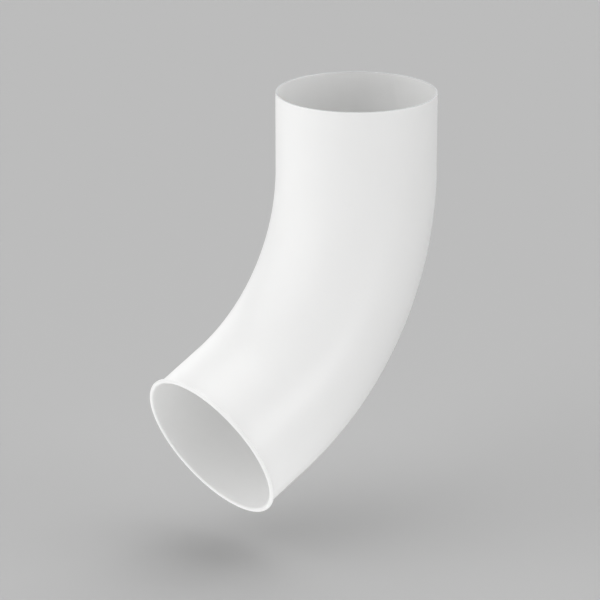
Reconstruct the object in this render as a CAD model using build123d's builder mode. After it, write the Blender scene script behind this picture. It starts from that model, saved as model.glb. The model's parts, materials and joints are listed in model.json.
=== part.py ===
from build123d import *

import os
from math import asin, degrees

# Downpipe shoe: one thin steel tube, bent once, that turns falling rainwater and
# throws it forwards. Lengths are in millimetres and angles in degrees.
# The origin is the centre of the inlet's cut end. +Z runs up the inlet's axis, and
# the outlet points forwards and down, forwards being -Y.

# Coated steel tube
pipe_diameter = 87.0
sheet_thickness = 0.7

# Run of the tube along its centre line
inlet_length = 43.0
bend_radius = 135.0
bend_angle = 63.0
outlet_length = 33.0

# Bead: the edge of the mouth, rolled outwards nearly onto the tube's outside
bead_hollow = 1.0
bead_gap = 0.2

# Radii of the tube's two faces
outer_radius = pipe_diameter / 2
bore_radius = outer_radius - sheet_thickness

# The sheet rolls on past the far side of the bead until the corner of its edge
# stands one gap off the tube's outside
bead_radius = bead_hollow / 2 + sheet_thickness
bead_overrun = degrees(asin(1 - (sheet_thickness + bead_gap) / bead_radius))
bead_turn = 270 + bead_overrun


with BuildPart() as downpipe_shoe:
    # The tube: straight inlet, one smooth bend, straight outlet up to the bead
    with BuildLine(Plane.YZ) as centre_line:
        inlet_run = Line((0, 0), (0, -inlet_length))
        bend_run = JernArc(inlet_run @ 1, inlet_run % 1, bend_radius, -bend_angle)
        outlet_run = PolarLine(
            bend_run @ 1, outlet_length - bead_radius, direction=bend_run % 1
        )
    with BuildSketch(Plane.XY) as tube_section:
        Circle(outer_radius)
        Circle(bore_radius, mode=Mode.SUBTRACT)
    sweep(path=centre_line.wire())

    # The bead: the sheet's section, curled away from the bore, turned round the
    # outlet's axis. Across the section, x is the distance from that axis and y
    # runs with the water
    mouth_centre = outlet_run @ 1
    flow = outlet_run % 1
    bead_plane = Plane(mouth_centre, x_dir=(1, 0, 0), z_dir=Vector(1, 0, 0).cross(flow))
    with BuildSketch(bead_plane) as bead_section:
        with BuildLine():
            roll_centre = (bore_radius + bead_radius, 0)
            outer_face = CenterArc(roll_centre, bead_radius, 180, -bead_turn)
            inner_face = CenterArc(roll_centre, bead_hollow / 2, 180, -bead_turn)
            Line(outer_face @ 0, inner_face @ 0)
            Line(outer_face @ 1, inner_face @ 1)
        make_face()
    revolve(axis=Axis(mouth_centre, flow))


downpipe_shoe.part.label = "downpipe_shoe"

os.makedirs("parts", exist_ok=True)
export_step(downpipe_shoe.part, "parts/downpipe_shoe.step")
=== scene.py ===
"""Looks of a downpipe shoe: one bent tube of white coated steel with a rolled bead.

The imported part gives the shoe's place and its main sizes. A Geometry Nodes tree turns
the section of the sheet into a straight tube with its bead and then bends the tube, so
that one fine closed mesh stands for the CAD solid.
"""

from __future__ import annotations

import json
import logging
import math
from dataclasses import dataclass
from enum import Enum
from typing import Any

import bpy
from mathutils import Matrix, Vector

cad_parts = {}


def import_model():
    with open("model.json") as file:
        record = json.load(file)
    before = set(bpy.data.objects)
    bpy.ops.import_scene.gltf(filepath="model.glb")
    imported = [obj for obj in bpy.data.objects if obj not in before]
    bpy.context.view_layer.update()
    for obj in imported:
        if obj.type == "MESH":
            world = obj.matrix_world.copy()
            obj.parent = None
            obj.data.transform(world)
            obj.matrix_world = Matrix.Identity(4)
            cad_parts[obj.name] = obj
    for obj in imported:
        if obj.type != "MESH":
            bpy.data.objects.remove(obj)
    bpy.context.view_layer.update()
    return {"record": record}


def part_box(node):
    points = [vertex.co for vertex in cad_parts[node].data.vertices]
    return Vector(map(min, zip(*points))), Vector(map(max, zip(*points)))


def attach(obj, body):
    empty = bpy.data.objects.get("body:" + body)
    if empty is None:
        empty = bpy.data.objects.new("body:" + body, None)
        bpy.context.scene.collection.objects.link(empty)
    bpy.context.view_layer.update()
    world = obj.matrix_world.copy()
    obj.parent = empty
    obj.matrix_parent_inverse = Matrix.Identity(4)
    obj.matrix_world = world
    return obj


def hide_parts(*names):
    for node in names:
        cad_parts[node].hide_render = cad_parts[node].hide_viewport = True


LOG = logging.getLogger("downpipe_shoe")

MILLIMETRE = 0.001
NOISE_MIDDLE = 0.5
WHITE = (1.0, 1.0, 1.0, 1.0)

Colour = tuple[float, float, float]
SectionPoint = tuple[Any, Any]
SocketValues = dict[str | int, Any]


class Body(Enum):
    """The rigid bodies that pieces may ride on."""

    ROOT = "root"


class Node(Enum):
    """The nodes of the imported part."""

    SHOE = "downpipe_shoe"


class Slot(Enum):
    """The record's material slots."""

    COATING = "white_coating"


class Mount(Enum):
    """The record's mounts that give the tube its sizes."""

    INLET = "inlet"
    CLIP_SEAT = "clip_seat"


class Attribute(Enum):
    """The attributes that the tube's mesh carries to its materials."""

    STRAIGHT_PLACE = "straight_place"
    BARE_EDGE = "bare_edge"


class MixSocket(Enum):
    """The numbers of a colour Mix node's sockets, which share their names."""

    FACTOR = 0
    FIRST = 6
    SECOND = 7
    RESULT = 2


class Graph:
    """Adds nodes to one node tree, of geometry or of a material, and joins them up."""

    def __init__(self, tree: bpy.types.NodeTree) -> None:
        """Keeps the tree that the nodes go into.

        Args:
            tree: A geometry or shader node tree.
        """
        self.tree = tree

    def node(
        self,
        kind: str,
        settings: dict[str, Any] | None = None,
        values: SocketValues | None = None,
    ) -> bpy.types.Node:
        """Adds one node, with its settings made before its sockets are filled.

        Args:
            kind: The node's type name.
            settings: The node's own properties.
            values: What each input socket gets, by its name or number: a plain value,
                a field or socket to link, or a list of fields for a joining socket.

        Returns:
            The new node.
        """
        node = self.tree.nodes.new(kind)
        for name, setting in (settings or {}).items():
            setattr(node, name, setting)
        for key, value in (values or {}).items():
            for item in value if isinstance(value, list) else [value]:
                self.feed(node.inputs[key], item)
        return node

    def feed(self, socket: bpy.types.NodeSocket, value: Any) -> None:
        """Links a socket, or sets its plain value.

        Args:
            socket: The input socket.
            value: A field, an output socket, or a plain value.
        """
        if isinstance(value, Field):
            value = value.socket
        if isinstance(value, bpy.types.NodeSocket):
            self.tree.links.new(value, socket)
        else:
            socket.default_value = value

    def field(
        self,
        kind: str,
        settings: dict[str, Any] | None = None,
        values: SocketValues | None = None,
        output: str | int = 0,
    ) -> Field:
        """Adds one node and gives one of its outputs as a field.

        Args:
            kind: The node's type name.
            settings: As for node.
            values: As for node.
            output: The output socket's name or number.

        Returns:
            The output, ready for arithmetic.
        """
        return Field(self, self.node(kind, settings, values).outputs[output])

    def mix_colours(self, factor: Field, first: Colour, second: Colour) -> Field:
        """Adds a mixture of two colours.

        Args:
            factor: The second colour's share, from 0 to 1.
            first: The colour at 0.
            second: The colour at 1.

        Returns:
            The mixed colour.
        """
        return self.field(
            "ShaderNodeMix",
            {"data_type": "RGBA"},
            {
                MixSocket.FACTOR.value: factor,
                MixSocket.FIRST.value: (*first, 1.0),
                MixSocket.SECOND.value: (*second, 1.0),
            },
            output=MixSocket.RESULT.value,
        )


class Field:
    """A value in a node tree, on which Python's operators add Math nodes."""

    def __init__(self, graph: Graph, socket: bpy.types.NodeSocket) -> None:
        """Wraps an output socket.

        Args:
            graph: The graph that the socket belongs to.
            socket: The output socket that holds the value.
        """
        self.graph = graph
        self.socket = socket

    def math(self, operation: str, *others: Any) -> Field:
        """Adds a Math node on this number and others.

        Args:
            operation: The Math node's operation.
            *others: The further numbers or fields, in order.

        Returns:
            The result as a field.
        """
        values = dict(enumerate((self, *others)))
        return self.graph.field("ShaderNodeMath", {"operation": operation}, values)

    def _after(self, operation: str, first: Any) -> Field:
        """Adds a Math node in which this number comes second.

        Args:
            operation: The Math node's operation.
            first: The number or field that comes first.

        Returns:
            The result as a field.
        """
        values = {0: first, 1: self}
        return self.graph.field("ShaderNodeMath", {"operation": operation}, values)

    def __add__(self, other: Any) -> Field:
        """Adds."""
        return self.math("ADD", other)

    def __radd__(self, other: Any) -> Field:
        """Adds, with this number second."""
        return self._after("ADD", other)

    def __sub__(self, other: Any) -> Field:
        """Subtracts."""
        return self.math("SUBTRACT", other)

    def __rsub__(self, other: Any) -> Field:
        """Subtracts this number from another."""
        return self._after("SUBTRACT", other)

    def __mul__(self, other: Any) -> Field:
        """Multiplies."""
        return self.math("MULTIPLY", other)

    def __rmul__(self, other: Any) -> Field:
        """Multiplies, with this number second."""
        return self._after("MULTIPLY", other)

    def __truediv__(self, other: Any) -> Field:
        """Divides."""
        return self.math("DIVIDE", other)

    def __rtruediv__(self, other: Any) -> Field:
        """Divides another number by this one."""
        return self._after("DIVIDE", other)

    def __neg__(self) -> Field:
        """Changes the sign."""
        return self * -1.0

    def between(self, low: Any, high: Any) -> Field:
        """Gives this number held between two limits.

        Args:
            low: The lower limit.
            high: The upper limit.

        Returns:
            The limited number.
        """
        return self.math("MAXIMUM", low).math("MINIMUM", high)


@dataclass(frozen=True)
class CoatedSteel:
    """White satin coating on galvanised sheet, the same on both faces of the tube.

    Its pattern lies in the coordinates of the tube before it was bent, so that marks
    left by drawing the tube run along it and turn with the bend.
    """

    name: str = "white_satin_coating"
    colour: Colour = (0.86, 0.86, 0.855)
    shaded_colour: Colour = (0.835, 0.835, 0.83)
    roughness: float = 0.35
    roughness_swing: float = 0.10
    peel_width: float = 2.0 * MILLIMETRE
    peel_height: float = 0.018 * MILLIMETRE
    draw_line_width: float = 3.0 * MILLIMETRE
    draw_line_length: float = 160 * MILLIMETRE
    draw_line_height: float = 0.02 * MILLIMETRE
    wave_width: float = 11 * MILLIMETRE
    wave_length: float = 170 * MILLIMETRE
    wave_height: float = 0.16 * MILLIMETRE
    cloud_width: float = 38 * MILLIMETRE

    def material(self) -> bpy.types.Material:
        """Builds the coating as a node material.

        Returns:
            The material.
        """
        material, graph, shader = new_material(self.name)
        place = straight_place(graph)
        clouds = self._noise(graph, place, self.cloud_width, self.cloud_width, detail=3.0)
        peel = self._noise(graph, place, self.peel_width, self.peel_width, detail=1.0)
        lines = self._noise(
            graph, place, self.draw_line_width, self.draw_line_length, detail=2.0
        )
        waves = self._noise(graph, place, self.wave_width, self.wave_length, detail=0.0)
        colour = graph.mix_colours(clouds, self.shaded_colour, self.colour)
        relief = (
            peel * self.peel_height
            + lines * self.draw_line_height
            + waves * self.wave_height
        )
        normal = graph.field(
            "ShaderNodeBump", values={"Distance": 1.0, "Height": relief}
        )
        cloud_swing = (clouds - NOISE_MIDDLE) * self.roughness_swing
        line_swing = (lines - NOISE_MIDDLE) * self.roughness_swing
        roughness = self.roughness + (cloud_swing + line_swing)
        graph.feed(shader.inputs["Base Color"], colour)
        graph.feed(shader.inputs["Roughness"], roughness)
        graph.feed(shader.inputs["Normal"], normal)
        return material

    @staticmethod
    def _noise(
        graph: Graph, place: Field, width: float, length: float, detail: float
    ) -> Field:
        """Adds a noise that may be drawn out along the tube.

        Args:
            graph: The material's graph.
            place: The point in the straight tube.
            width: The size of a patch across the tube.
            length: The size of a patch along the tube.
            detail: The noise's octaves.

        Returns:
            The noise, around a half.
        """
        scaled = graph.field(
            "ShaderNodeVectorMath",
            {"operation": "MULTIPLY"},
            {0: place, 1: (1 / width, 1 / width, 1 / length)},
        )
        values = {"Vector": scaled, "Scale": 1.0, "Detail": detail}
        return graph.field("ShaderNodeTexNoise", values=values)


@dataclass(frozen=True)
class BareEdge:
    """Edge of the sheet where it was sheared through: zinc smeared over grey steel."""

    name: str = "sheared_zinc_edge"
    zinc: Colour = (0.62, 0.63, 0.64)
    steel: Colour = (0.44, 0.44, 0.45)
    metallic: float = 0.55
    roughness: float = 0.46
    roughness_swing: float = 0.12
    streak_width: float = 1.6 * MILLIMETRE

    def material(self) -> bpy.types.Material:
        """Builds the cut edge as a node material.

        Returns:
            The material.
        """
        material, graph, shader = new_material(self.name)
        place = straight_place(graph)
        streaks = graph.field(
            "ShaderNodeTexNoise",
            values={"Vector": place, "Scale": 1 / self.streak_width, "Detail": 3.0},
        )
        roughness = self.roughness + (streaks - NOISE_MIDDLE) * self.roughness_swing
        colour = graph.mix_colours(streaks, self.steel, self.zinc)
        graph.feed(shader.inputs["Base Color"], colour)
        graph.feed(shader.inputs["Metallic"], self.metallic)
        graph.feed(shader.inputs["Roughness"], roughness)
        return material


def new_material(name: str) -> tuple[bpy.types.Material, Graph, bpy.types.Node]:
    """Makes a material that holds one Principled shader.

    Args:
        name: The material's name.

    Returns:
        The material, the graph of its nodes, and its shader node.
    """
    material = bpy.data.materials.new(name)
    material.use_nodes = True
    material.node_tree.nodes.clear()
    graph = Graph(material.node_tree)
    shader = graph.node("ShaderNodeBsdfPrincipled")
    graph.node("ShaderNodeOutputMaterial", values={"Surface": shader.outputs["BSDF"]})
    return material, graph, shader


def straight_place(graph: Graph) -> Field:
    """Adds the place that a point had in the tube before it was bent.

    Args:
        graph: The material's graph.

    Returns:
        The place as a vector field.
    """
    return graph.field(
        "ShaderNodeAttribute",
        {"attribute_name": Attribute.STRAIGHT_PLACE.value},
        output="Vector",
    )


def drop_empty_slots(mesh: bpy.types.Mesh) -> None:
    """Takes out the material slots that hold nothing.

    Args:
        mesh: The mesh, whose faces keep their materials.
    """
    for index in reversed(range(len(mesh.materials))):
        if mesh.materials[index] is None:
            mesh.materials.pop(index=index)


@dataclass
class SheetSection:
    """Adds the outline of the sheet's section, one open curve for each stretch.

    Across the section x is the distance out from the bore and y the distance run down
    the tube from its inlet. The stretches follow each other round a closed outline.
    """

    graph: Graph
    thickness: Field
    run: Field
    bead_hollow: Field
    bead_turn: Field
    cut_rounding: Field
    wall_step: Field
    bead_steps: int = 22
    hollow_steps: int = 14
    rounding_steps: int = 4

    def faces(self) -> list[Field]:
        """Adds the stretches that the coating covers.

        They run down the bore, round the bead and back up the outside.

        Returns:
            The curves.
        """
        bead, hollow, wall_end, rolled = self._roll()
        return [
            self._wall((0.0, self.cut_rounding), (0.0, wall_end)),
            self._arc((bead, wall_end), bead, math.pi, -self.bead_turn, self.bead_steps),
            self._arc((bead, wall_end), hollow, rolled, self.bead_turn, self.hollow_steps),
            self._wall((self.thickness, wall_end), (self.thickness, self.cut_rounding)),
        ]

    def edges(self) -> list[Field]:
        """Adds the stretches that show bare metal.

        They are the end of the rolled sheet, and the inlet's cut end with its two
        rounded corners.

        Returns:
            The curves.
        """
        bead, hollow, wall_end, rolled = self._roll()
        across, down = rolled.math("COSINE"), rolled.math("SINE")
        corner = self.cut_rounding
        far = self.thickness - corner
        quarter = math.pi / 2
        return [
            self._line(
                (bead + bead * across, wall_end + bead * down),
                (bead + hollow * across, wall_end + hollow * down),
            ),
            self._arc((far, corner), corner, 0.0, -quarter, self.rounding_steps),
            self._line((far, 0.0), (corner, 0.0)),
            self._arc((corner, corner), corner, -quarter, -quarter, self.rounding_steps),
        ]

    def _roll(self) -> tuple[Field, Field, Field, Field]:
        """Works out where the bead is rolled.

        Returns:
            The radii of its outer face and of its hollow, how far down the tube its
            centre lies, and the angle at which the roll ends.
        """
        hollow = self.bead_hollow / 2
        bead = hollow + self.thickness
        return bead, hollow, self.run - bead, math.pi - self.bead_turn

    def _point(self, place: SectionPoint) -> Field:
        """Adds a point of the section.

        Args:
            place: Its x and y.

        Returns:
            The point as a vector field.
        """
        return self.graph.field("ShaderNodeCombineXYZ", values=dict(enumerate(place)))

    def _line(self, start: SectionPoint, end: SectionPoint) -> Field:
        """Adds a straight stretch.

        Args:
            start: The x and y of its first point.
            end: The x and y of its last point.

        Returns:
            The curve.
        """
        ends = {"Start": self._point(start), "End": self._point(end)}
        return self.graph.field("GeometryNodeCurvePrimitiveLine", values=ends)

    def _wall(self, start: SectionPoint, end: SectionPoint) -> Field:
        """Adds a straight stretch that is divided finely enough to be bent.

        Args:
            start: The x and y of its first point.
            end: The x and y of its last point.

        Returns:
            The curve.
        """
        return self.graph.field(
            "GeometryNodeResampleCurve",
            {"mode": "LENGTH"},
            {"Curve": self._line(start, end), "Length": self.wall_step},
        )

    def _arc(
        self, centre: SectionPoint, radius: Field, start: Any, sweep: Any, steps: int
    ) -> Field:
        """Adds a stretch of a circle.

        Args:
            centre: The x and y of the circle's centre.
            radius: The circle's radius.
            start: The angle of the first point, in radians.
            sweep: The turn from there to the last point, in radians.
            steps: The number of straight steps that stand for the arc.

        Returns:
            The curve.
        """
        arc = self.graph.field(
            "GeometryNodeCurveArc",
            {"mode": "RADIUS"},
            {
                "Resolution": steps + 1,
                "Radius": radius,
                "Start Angle": start,
                "Sweep Angle": sweep,
            },
        )
        return self.graph.field(
            "GeometryNodeSetPosition", values={"Geometry": arc, "Offset": self._point(centre)}
        )


@dataclass
class DownpipeShoe:
    """The shoe: inlet, bend, short outlet and the bead rolled round its mouth.

    Lengths are in metres and angles in radians. The origin is the centre of the inlet's
    cut end, +Z runs up the inlet, and the outlet points to -Y and down. The sizes of the
    bend, the outlet and the bead are copied from the CAD model, and don't follow it.
    """

    bore_radius: float
    outer_radius: float
    inlet_length: float
    bend_radius: float = 135 * MILLIMETRE
    bend_angle: float = math.radians(63)
    outlet_length: float = 33 * MILLIMETRE
    bead_hollow: float = 1.0 * MILLIMETRE
    bead_gap: float = 0.2 * MILLIMETRE
    cut_rounding: float = 0.12 * MILLIMETRE
    facets_round: int = 192
    wall_step: float = 2.5 * MILLIMETRE
    weld_distance: float = 0.002 * MILLIMETRE
    sharp_angle: float = math.radians(40)

    @classmethod
    def from_record(cls, record: dict[str, Any]) -> DownpipeShoe:
        """Takes the tube's radii and its inlet's length from the record's mounts.

        Args:
            record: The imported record.

        Returns:
            The shoe.
        """
        dims = {mount["name"]: mount["dims"] for mount in record["mounts"]}
        inlet, seat = dims[Mount.INLET.value], dims[Mount.CLIP_SEAT.value]
        return cls(
            bore_radius=inlet["r_mm"] * MILLIMETRE,
            outer_radius=seat["r_mm"] * MILLIMETRE,
            inlet_length=inlet["length_mm"] * MILLIMETRE,
        )

    @property
    def thickness(self) -> float:
        """The sheet's thickness."""
        return self.outer_radius - self.bore_radius

    @property
    def bead_turn(self) -> float:
        """How far the bead's sheet is rolled, until its edge is one gap off the tube."""
        bead_radius = self.bead_hollow / 2 + self.thickness
        overrun = math.asin(1 - (self.thickness + self.bead_gap) / bead_radius)
        to_far_side = 1.5 * math.pi
        return to_far_side + overrun

    def build(self) -> bpy.types.Object:
        """Builds the shoe's mesh and gives it its finishes.

        Returns:
            The finished piece.
        """
        mesh = bpy.data.meshes.new("shoe_base")
        piece = bpy.data.objects.new("shoe_tube", mesh)
        bpy.context.scene.collection.objects.link(piece)
        tree, inputs = self._tree()
        modifier = piece.modifiers.new("bent_tube", "NODES")
        modifier.node_group = tree
        for identifier, value in inputs.items():
            modifier[identifier] = value
        depsgraph = bpy.context.evaluated_depsgraph_get()
        piece.data = bpy.data.meshes.new_from_object(piece.evaluated_get(depsgraph))
        piece.modifiers.clear()
        piece.data.name = piece.name
        bpy.data.node_groups.remove(tree)
        bpy.data.meshes.remove(mesh)
        drop_empty_slots(piece.data)
        return piece

    def _tree(self) -> tuple[bpy.types.NodeTree, dict[str, Any]]:
        """Builds the Geometry Nodes tree.

        Returns:
            The tree, and the value of each of its inputs by the input's identifier.
        """
        tree = bpy.data.node_groups.new("bent_tube", "GeometryNodeTree")
        tree.interface.new_socket(
            "Geometry", in_out="OUTPUT", socket_type="NodeSocketGeometry"
        )
        sizes = {
            "Bore radius": self.bore_radius,
            "Sheet thickness": self.thickness,
            "Inlet length": self.inlet_length,
            "Bend radius": self.bend_radius,
            "Bend angle": self.bend_angle,
            "Outlet length": self.outlet_length,
            "Bead hollow": self.bead_hollow,
            "Bead turn": self.bead_turn,
            "Cut rounding": self.cut_rounding,
            "Facets round": self.facets_round,
            "Wall step": self.wall_step,
            "Coating": CoatedSteel().material(),
            "Bare edge": BareEdge().material(),
        }
        kinds = {
            float: "NodeSocketFloat",
            int: "NodeSocketInt",
            bpy.types.Material: "NodeSocketMaterial",
        }
        inputs: dict[str, Any] = {}
        for name, value in sizes.items():
            socket = tree.interface.new_socket(
                name, in_out="INPUT", socket_type=kinds[type(value)]
            )
            inputs[socket.identifier] = value
        graph = Graph(tree)
        given = graph.node("NodeGroupInput")
        size = {name: Field(graph, given.outputs[name]) for name in sizes}
        straight = self._straight_tube(graph, size)
        bent = self._bend(graph, size, straight)
        graph.node("NodeGroupOutput", values={0: self._finish(graph, size, bent)})
        return tree, inputs

    def _straight_tube(self, graph: Graph, size: dict[str, Field]) -> Field:
        """Adds the nodes that turn the sheet's section into a straight beaded tube.

        Args:
            graph: The tree's graph.
            size: The tree's inputs by name.

        Returns:
            The tube's closed mesh, with its axis along Z and its inlet at zero.
        """
        run = size["Inlet length"] + size["Bend radius"] * size["Bend angle"]
        section = SheetSection(
            graph,
            thickness=size["Sheet thickness"],
            run=run + size["Outlet length"],
            bead_hollow=size["Bead hollow"],
            bead_turn=size["Bead turn"],
            cut_rounding=size["Cut rounding"],
            wall_step=size["Wall step"],
        )
        ring = graph.field(
            "GeometryNodeCurvePrimitiveCircle",
            values={"Resolution": size["Facets round"], "Radius": size["Bore radius"]},
        )
        skins: list[Field] = []
        for curves, is_bare in ((section.faces(), False), (section.edges(), True)):
            outline = graph.field("GeometryNodeJoinGeometry", values={0: curves})
            skin = graph.field(
                "GeometryNodeCurveToMesh", values={"Curve": ring, "Profile Curve": outline}
            )
            skins.append(
                graph.field(
                    "GeometryNodeStoreNamedAttribute",
                    {"data_type": "BOOLEAN", "domain": "FACE"},
                    {"Geometry": skin, "Name": Attribute.BARE_EDGE.value, "Value": is_bare},
                )
            )
        whole = graph.field("GeometryNodeJoinGeometry", values={0: skins})
        welded = graph.field(
            "GeometryNodeMergeByDistance",
            values={"Geometry": whole, "Distance": self.weld_distance},
        )
        return graph.field("GeometryNodeFlipFaces", values={"Mesh": welded})

    @staticmethod
    def _bend(graph: Graph, size: dict[str, Field], straight: Field) -> Field:
        """Adds the nodes that bend the tube and keep each point's straight place.

        Args:
            graph: The tree's graph.
            size: The tree's inputs by name.
            straight: The straight tube.

        Returns:
            The bent tube.
        """
        place = graph.field("GeometryNodeInputPosition")
        kept = graph.field(
            "GeometryNodeStoreNamedAttribute",
            {"data_type": "FLOAT_VECTOR", "domain": "POINT"},
            {"Geometry": straight, "Name": Attribute.STRAIGHT_PLACE.value, "Value": place},
        )
        split = graph.node("ShaderNodeSeparateXYZ", values={0: place})
        x, y, z = (Field(graph, split.outputs[axis]) for axis in "XYZ")
        radius = size["Bend radius"]
        along = -z - size["Inlet length"]
        arc_length = radius * size["Bend angle"]
        run = along.between(0.0, arc_length)
        angle = run / radius
        past = along - run
        reach = radius + y
        cosine, sine = angle.math("COSINE"), angle.math("SINE")
        new_y = reach * cosine - past * sine - radius
        new_z = -size["Inlet length"] - reach * sine - past * cosine
        bent_place = graph.field("ShaderNodeCombineXYZ", values={0: x, 1: new_y, 2: new_z})
        return graph.field(
            "GeometryNodeSetPosition", values={"Geometry": kept, "Position": bent_place}
        )

    def _finish(self, graph: Graph, size: dict[str, Field], bent: Field) -> Field:
        """Adds the nodes that shade the tube and give it its materials.

        Args:
            graph: The tree's graph.
            size: The tree's inputs by name.
            bent: The bent tube.

        Returns:
            The finished geometry.
        """
        smooth = graph.field("GeometryNodeSetShadeSmooth", values={"Geometry": bent})
        edge_angle = graph.field("GeometryNodeInputMeshEdgeAngle")
        sharp = graph.field(
            "FunctionNodeCompare",
            {"data_type": "FLOAT", "operation": "GREATER_THAN"},
            {0: edge_angle, 1: self.sharp_angle},
        )
        creased = graph.field(
            "GeometryNodeSetShadeSmooth",
            {"domain": "EDGE"},
            {"Geometry": smooth, "Selection": sharp, "Shade Smooth": False},
        )
        plain = graph.field("GeometryNodeRealizeInstances", values={"Geometry": creased})
        coated = graph.field(
            "GeometryNodeSetMaterial", values={"Geometry": plain, "Material": size["Coating"]}
        )
        is_bare = graph.field(
            "GeometryNodeInputNamedAttribute",
            {"data_type": "BOOLEAN"},
            {"Name": Attribute.BARE_EDGE.value},
        )
        return graph.field(
            "GeometryNodeSetMaterial",
            values={"Geometry": coated, "Selection": is_bare, "Material": size["Bare edge"]},
        )


@dataclass(frozen=True)
class SoftLamp:
    """A wide soft light from far away, which is even over the whole floor.

    Its place and the angle that it spreads over are in degrees. At a level of 1 it
    brings a white surface that faces it to full white.
    """

    name: str
    azimuth: float
    elevation: float
    spread: float
    level: float

    def place(self) -> None:
        """Adds the lamp to the scene."""
        lamp = bpy.data.lights.new(self.name, "SUN")
        lamp.angle = math.radians(self.spread)
        lamp.energy = self.level * math.pi
        holder = bpy.data.objects.new(self.name, lamp)
        bpy.context.scene.collection.objects.link(holder)
        away = direction(self.azimuth, self.elevation)
        holder.location = away
        holder.rotation_euler = away.to_track_quat("Z", "Y").to_euler()


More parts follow.
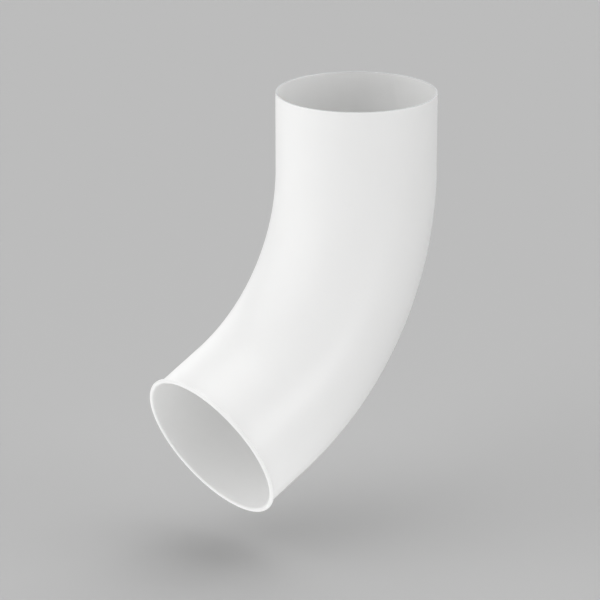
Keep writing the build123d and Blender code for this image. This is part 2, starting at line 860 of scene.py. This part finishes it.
@dataclass(frozen=True)
class Studio:
    """Plain pale floor, soft light and the camera, which looks as the photograph does.

    The light from below and from the sky is strong in front of the shoe, towards -Y,
    and weak behind it. Lengths are in metres, but the lens is in millimetres, and
    angles are in degrees. The glows, the backdrop and the ambient light are
    brightnesses, where 1 is white. The floor's level is the share of the light on it
    that it sends back, and the rear shade is how fast the sky darkens towards the rear.
    """

    aim: Vector
    floor_gap: float = 0.02
    floor_width: float = 12.0
    floor_level: float = 0.462
    floor_roughness: float = 0.9
    front_glow: float = 1.22
    back_glow: float = 0.35
    glow_change_width: float = 0.2
    backdrop_level: float = 0.497
    ambient_level: float = 0.36
    rear_shade: float = 2.0
    camera_azimuth: float = 49.5
    camera_elevation: float = 18.0
    camera_distance: float = 1.93
    camera_lens: float = 215.0
    lamps: tuple[SoftLamp, ...] = (
        SoftLamp("key_light", azimuth=-24.0, elevation=28.0, spread=72.0, level=0.41),
        SoftLamp("side_light", azimuth=120.0, elevation=4.0, spread=56.0, level=0.51),
        SoftLamp("top_light", azimuth=176.0, elevation=72.0, spread=64.0, level=0.50),
        SoftLamp("back_light", azimuth=222.0, elevation=16.0, spread=80.0, level=0.33),
    )

    def build(self, lowest: float) -> float:
        """Adds the floor, the world's light, the lamps and the camera.

        Args:
            lowest: The height of the shoe's lowest point.

        Returns:
            The floor's height.
        """
        floor_height = lowest - self.floor_gap
        self._floor(floor_height)
        self._world()
        for lamp in self.lamps:
            lamp.place()
        self._camera()
        bpy.context.scene.view_settings.view_transform = "Standard"
        return floor_height

    def _floor(self, height: float) -> None:
        """Adds the floor, which shows a plain grey and lights the shoe from below.

        The glow changes from front to back over a strip under the inlet.

        Args:
            height: The floor's height.
        """
        half = self.floor_width / 2
        around = ((-half, -half), (half, -half), (half, half), (-half, half))
        mesh = bpy.data.meshes.new("studio_floor")
        mesh.from_pydata([(x, y, height) for x, y in around], [], [(0, 1, 2, 3)])
        material, graph, shader = new_material("studio_floor")
        place = graph.field("ShaderNodeTexCoord", output="Object")
        split = graph.node("ShaderNodeSeparateXYZ", values={0: place})
        across = Field(graph, split.outputs["Y"]) / self.glow_change_width
        behind = (across + 0.5).between(0.0, 1.0)
        glow = self.front_glow + behind * (self.back_glow - self.front_glow)
        seen = ray_is_seen(graph)
        graph.feed(shader.inputs["Base Color"], seen * self.floor_level)
        graph.feed(shader.inputs["Emission Color"], (1 - seen) * glow)
        graph.feed(shader.inputs["Emission Strength"], 1.0)
        graph.feed(shader.inputs["Roughness"], self.floor_roughness)
        graph.feed(shader.inputs["Specular IOR Level"], 0.0)
        mesh.materials.append(material)
        floor = bpy.data.objects.new("studio_floor", mesh)
        bpy.context.scene.collection.objects.link(floor)

    def _world(self) -> None:
        """Gives the world its light, which is dark behind, and its pale backdrop."""
        world = bpy.data.worlds.new("studio_world")
        world.use_nodes = True
        world.node_tree.nodes.clear()
        graph = Graph(world.node_tree)
        way = graph.field("ShaderNodeTexCoord", output="Generated")
        split = graph.node("ShaderNodeSeparateXYZ", values={0: way})
        behind = Field(graph, split.outputs["Y"]).between(0.0, 1.0)
        open_sky = (1 - behind * self.rear_shade).between(0.0, 1.0)
        light, backdrop = (
            graph.field("ShaderNodeBackground", values={"Color": WHITE, "Strength": level})
            for level in (open_sky * self.ambient_level, self.backdrop_level)
        )
        mixed = graph.field(
            "ShaderNodeMixShader", values={0: ray_is_seen(graph), 1: light, 2: backdrop}
        )
        graph.node("ShaderNodeOutputWorld", values={"Surface": mixed})
        bpy.context.scene.world = world

    def _camera(self) -> None:
        """Adds the camera and makes it the scene's own."""
        camera = bpy.data.cameras.new("camera")
        camera.lens = self.camera_lens
        holder = bpy.data.objects.new("camera", camera)
        bpy.context.scene.collection.objects.link(holder)
        back = direction(self.camera_azimuth, self.camera_elevation)
        holder.location = self.aim + back * self.camera_distance
        holder.rotation_euler = back.to_track_quat("Z", "Y").to_euler()
        bpy.context.scene.camera = holder


def ray_is_seen(graph: Graph) -> Field:
    """Adds the test for a ray that shows the surface it meets.

    Args:
        graph: The graph of a material or world.

    Returns:
        1 for a camera, glossy or transmission ray, and 0 for one that carries light.
    """
    rays = graph.node("ShaderNodeLightPath")
    unseen = 1.0
    for ray in ("Is Camera Ray", "Is Glossy Ray", "Is Transmission Ray"):
        unseen = unseen * (1 - Field(graph, rays.outputs[ray]))
    return 1 - unseen


def direction(azimuth: float, elevation: float) -> Vector:
    """Gives the way from the shoe to a camera or lamp.

    Args:
        azimuth: Degrees round from -Y towards +X.
        elevation: Degrees above the level.

    Returns:
        The unit vector.
    """
    turn, rise = math.radians(azimuth), math.radians(elevation)
    return Vector(
        (math.sin(turn) * math.cos(rise), -math.cos(turn) * math.cos(rise), math.sin(rise))
    )


def main() -> None:
    """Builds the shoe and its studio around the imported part."""
    logging.basicConfig(level=logging.INFO, format="%(name)s: %(message)s")
    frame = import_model()

    shoe = DownpipeShoe.from_record(frame["record"])
    piece = shoe.build()
    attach(piece, Body.ROOT.value)
    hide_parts(Node.SHOE.value)
    LOG.info("%s: %d faces", piece.name, len(piece.data.polygons))

    low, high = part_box(Node.SHOE.value)
    floor_height = Studio(aim=(low + high) / 2).build(lowest=low.z)
    LOG.info("studio: floor at %.4f m", floor_height)


if __name__ == "__main__":
    main()
